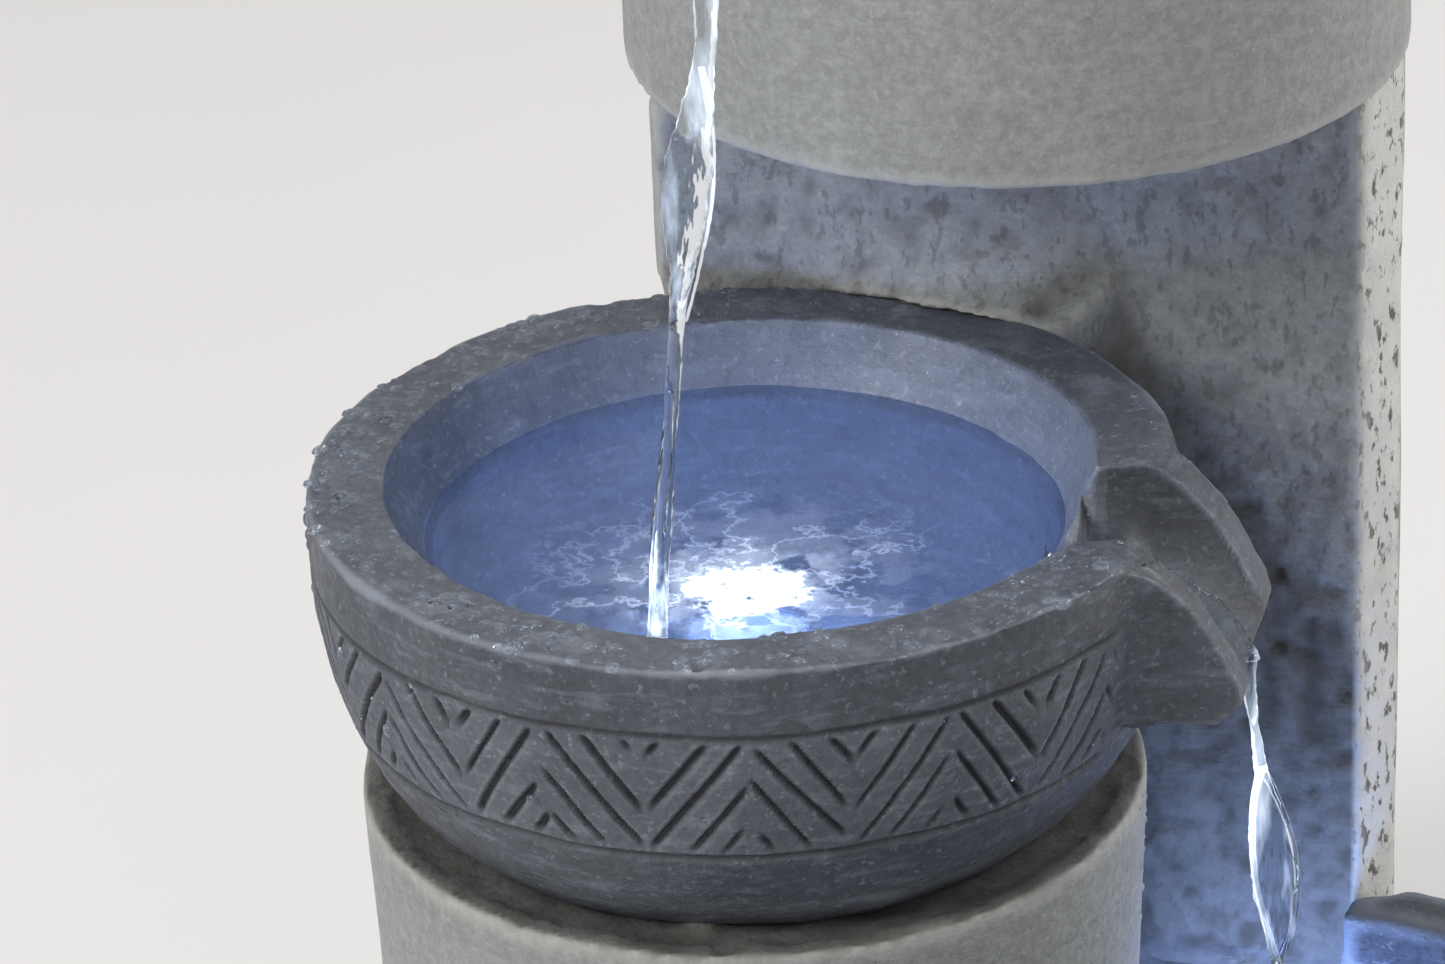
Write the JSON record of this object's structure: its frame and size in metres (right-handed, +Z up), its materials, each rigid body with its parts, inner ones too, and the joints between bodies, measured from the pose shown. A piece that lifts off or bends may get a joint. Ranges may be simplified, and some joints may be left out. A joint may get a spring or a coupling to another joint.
{
  "type": "tabletop water fountain",
  "caption": "Tiered tabletop fountain: carved stone-look bowls with spouts on round columns, over a basin, with pump and lights inside.",
  "frame": {"origin": "middle of the footprint on the table, under the rubber feet", "axes": "+Z up, -Y towards the viewer the fountain faces, +X to that viewer's right"},
  "size_m": [0.294, 0.336, 0.412],
  "materials": {
    "dark_cast_stone": "rough, dry-brushed",
    "pale_cast_stone": "fine brushed texture",
    "knob": "satin",
    "steel": "brushed",
    "magnet": "plated",
    "ferrite": "matt",
    "pump_plastic": "moulded",
    "impeller_plastic": "moulded",
    "shaft_ceramic": "polished",
    "rubber": "matt",
    "clear_tube": "clear soft vinyl",
    "light_plastic": "moulded",
    "light_board": "white solder mask",
    "light_lens": "clear moulded",
    "lead_sheath": "soft vinyl",
    "clip_plastic": "moulded"
  },
  "bodies": {
    "fountain": {"basin": "dark_cast_stone", "lower_column": "pale_cast_stone", "middle_bowl": "dark_cast_stone", "back_column": "pale_cast_stone", "upper_bowl": "dark_cast_stone", "strike_plates": "steel", "pump_housing": "pump_plastic", "shaft_bush_rear": "rubber", "shaft_bush_front": "rubber", "pump_shaft": "shaft_ceramic", "volute_seal": "rubber", "volute_cover": "pump_plastic", "suction_cups": "rubber", "riser_tube": "clear_tube", "hose_clips": "steel", "outlet_nipple": "pump_plastic", "nipple_washer": "rubber", "nipple_nut": "pump_plastic", "intake_screen": "light_plastic", "middle_light_housing": "light_plastic", "middle_light_board": "light_board", "middle_light_lens": "light_lens", "middle_light_seal": "rubber", "upper_light_housing": "light_plastic", "upper_light_board": "light_board", "upper_light_lens": "light_lens", "upper_light_seal": "rubber", "basin_light_housing": "light_plastic", "basin_light_board": "light_board", "basin_light_lens": "light_lens", "basin_light_seal": "rubber", "pump_lead": "lead_sheath", "middle_light_lead": "lead_sheath", "upper_light_lead": "lead_sheath", "basin_light_lead": "lead_sheath", "splice_box": "light_plastic", "lead_clips": "clip_plastic", "cord_gland": "rubber", "rubber_feet": "rubber"},
    "rotor": {"rotor_magnet": "ferrite", "impeller": "impeller_plastic"},
    "strainer": {"strainer_cover": "pump_plastic"},
    "dial": {"flow_dial": "pump_plastic"},
    "door": {"access_door": "pale_cast_stone", "door_knob": "knob", "door_knob_screw": "steel", "door_magnets": "magnet"},
    "cap": {"diffuser_cap": "pump_plastic"}
  },
  "joints": [
    {"name": "impeller_spin", "type": "hinge", "parent": "fountain", "child": "rotor", "pos_m": [0.01043, 0.13425, 0.033], "axis": [0.9625, -0.2711, 0], "continuous": true},
    {"name": "strainer_pull", "type": "slide", "parent": "fountain", "child": "strainer", "axis": [0.9625, -0.2711, 0], "range_m": [0, 0.012]},
    {"name": "flow_dial_turn", "type": "hinge", "parent": "strainer", "child": "dial", "pos_m": [0.01043, 0.13425, 0.033], "axis": [0.9625, -0.2711, 0], "range_deg": [0, 90]},
    {"name": "door_pull", "type": "slide", "parent": "fountain", "child": "door", "axis": [0.2711, 0.9625, 0], "range_m": [0, 0.06]},
    {"name": "diffuser_lift", "type": "slide", "parent": "fountain", "child": "cap", "axis": [0, 0, 1], "range_m": [0, 0.02]}
  ]
}
